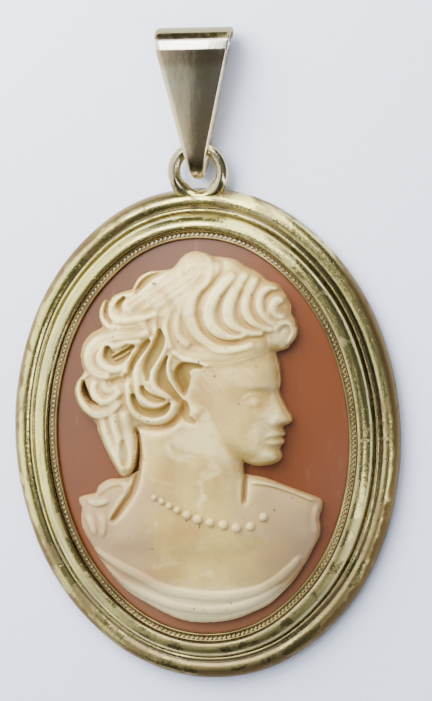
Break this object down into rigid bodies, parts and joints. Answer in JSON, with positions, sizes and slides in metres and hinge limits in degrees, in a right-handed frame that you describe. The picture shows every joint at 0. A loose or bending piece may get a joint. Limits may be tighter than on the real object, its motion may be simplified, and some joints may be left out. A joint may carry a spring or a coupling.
{
  "type": "cameo pendant",
  "caption": "Oval pendant with a carved shell cameo of a lady's head and shoulders, a stepped metal frame with a milled bezel, a loop and a folded bail.",
  "frame": {"origin": "middle of the pendant's footprint, bail included, on the plane that its back lies on", "axes": "+X to the right across the frame, +Y along the pendant towards the bail, +Z out of the carved face"},
  "size_m": [0.0336, 0.0556, 0.0064],
  "materials": {
    "gilt_metal": "satin",
    "bezel_metal": "satin",
    "orange_shell": "satin",
    "cream_shell": "satin",
    "bail_metal": "satin"
  },
  "bodies": {
    "pendant": {"frame": "gilt_metal", "milled_bezel": "bezel_metal", "cameo_ground": "orange_shell", "cameo_figure": "cream_shell"},
    "bail": {"bail": "bail_metal"}
  },
  "joints": [
    {"name": "bail_swing", "type": "hinge", "parent": "pendant", "child": "bail", "pos_m": [0, 0.01771, 0.00148], "axis": [1, 0, 0], "range_deg": [-120, 120]}
  ]
}
